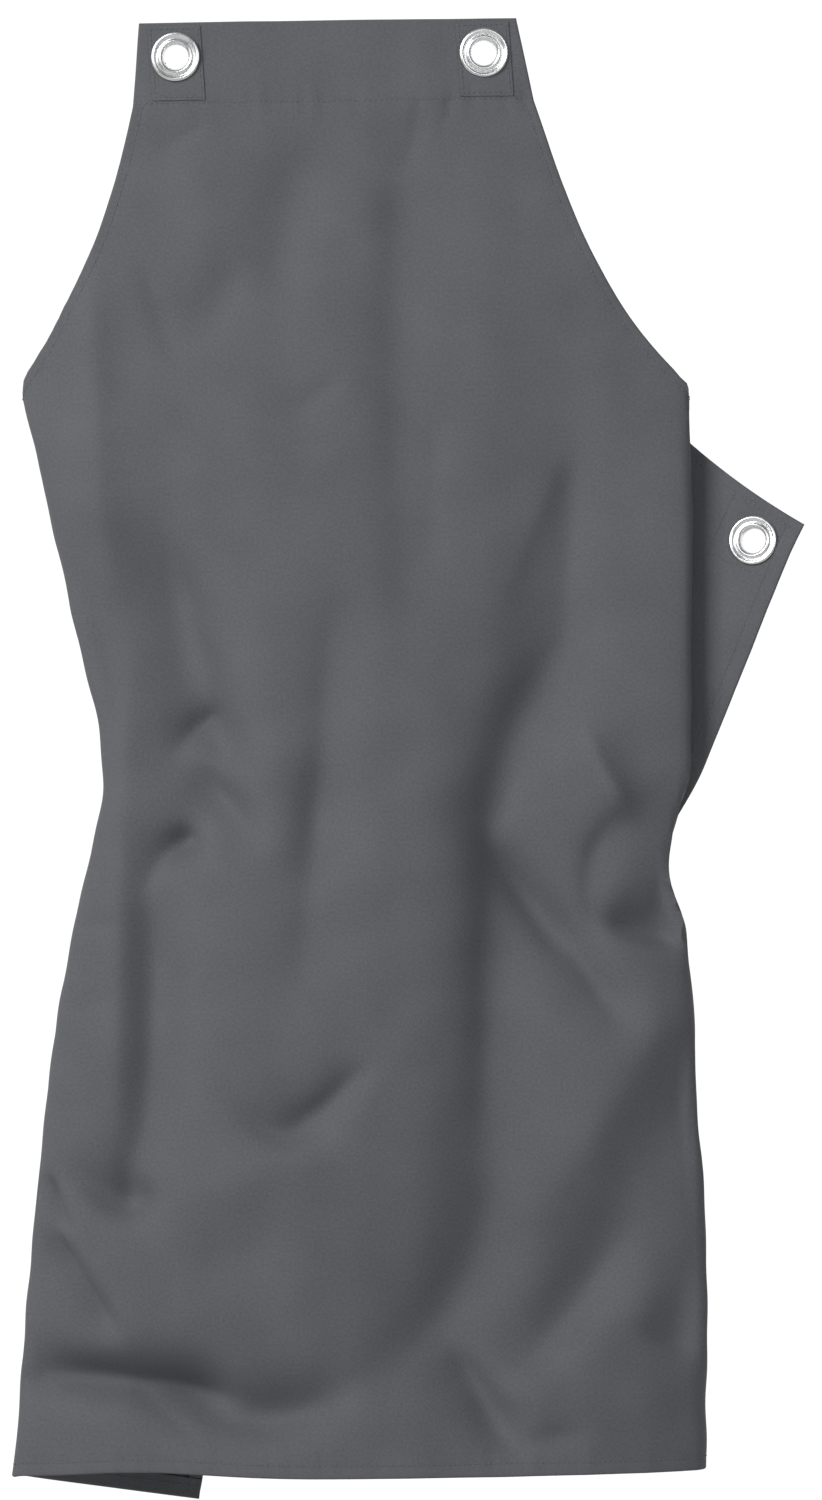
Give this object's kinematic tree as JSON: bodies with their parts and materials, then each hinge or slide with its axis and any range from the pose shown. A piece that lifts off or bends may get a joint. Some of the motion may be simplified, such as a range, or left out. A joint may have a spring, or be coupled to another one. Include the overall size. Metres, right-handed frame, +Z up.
{
  "type": "bib apron",
  "caption": "Plain grey cloth bib apron in its worn form, with turned hems, side wings and metal eyelets at the bib corners and wing tips for straps.",
  "frame": {"origin": "midway between the two bib eyelets, where the neck strap carries the apron", "axes": "+Z up, -Y out of the front of the apron, +X to the right of someone who looks at the front"},
  "size_m": [0.4575, 0.189, 0.8677],
  "materials": {
    "cloth": "plain grey poly-cotton twill",
    "eyelet_metal": "nickel-plated brass, polished"
  },
  "bodies": {
    "root": {"apron_panel": "cloth", "top_hem": "cloth", "armhole_hem_left": "cloth", "armhole_hem_right": "cloth", "side_hem_left": "cloth", "side_hem_right": "cloth", "bottom_hem": "cloth", "eyelet_patch_bib_left": "cloth", "eyelet_patch_bib_right": "cloth", "eyelet_patch_wing_left": "cloth", "eyelet_patch_wing_right": "cloth", "eyelet_bib_left": "eyelet_metal", "eyelet_bib_right": "eyelet_metal", "eyelet_wing_left": "eyelet_metal", "eyelet_wing_right": "eyelet_metal", "washer_bib_left": "eyelet_metal", "washer_bib_right": "eyelet_metal", "washer_wing_left": "eyelet_metal", "washer_wing_right": "eyelet_metal"}
  },
  "joints": []
}
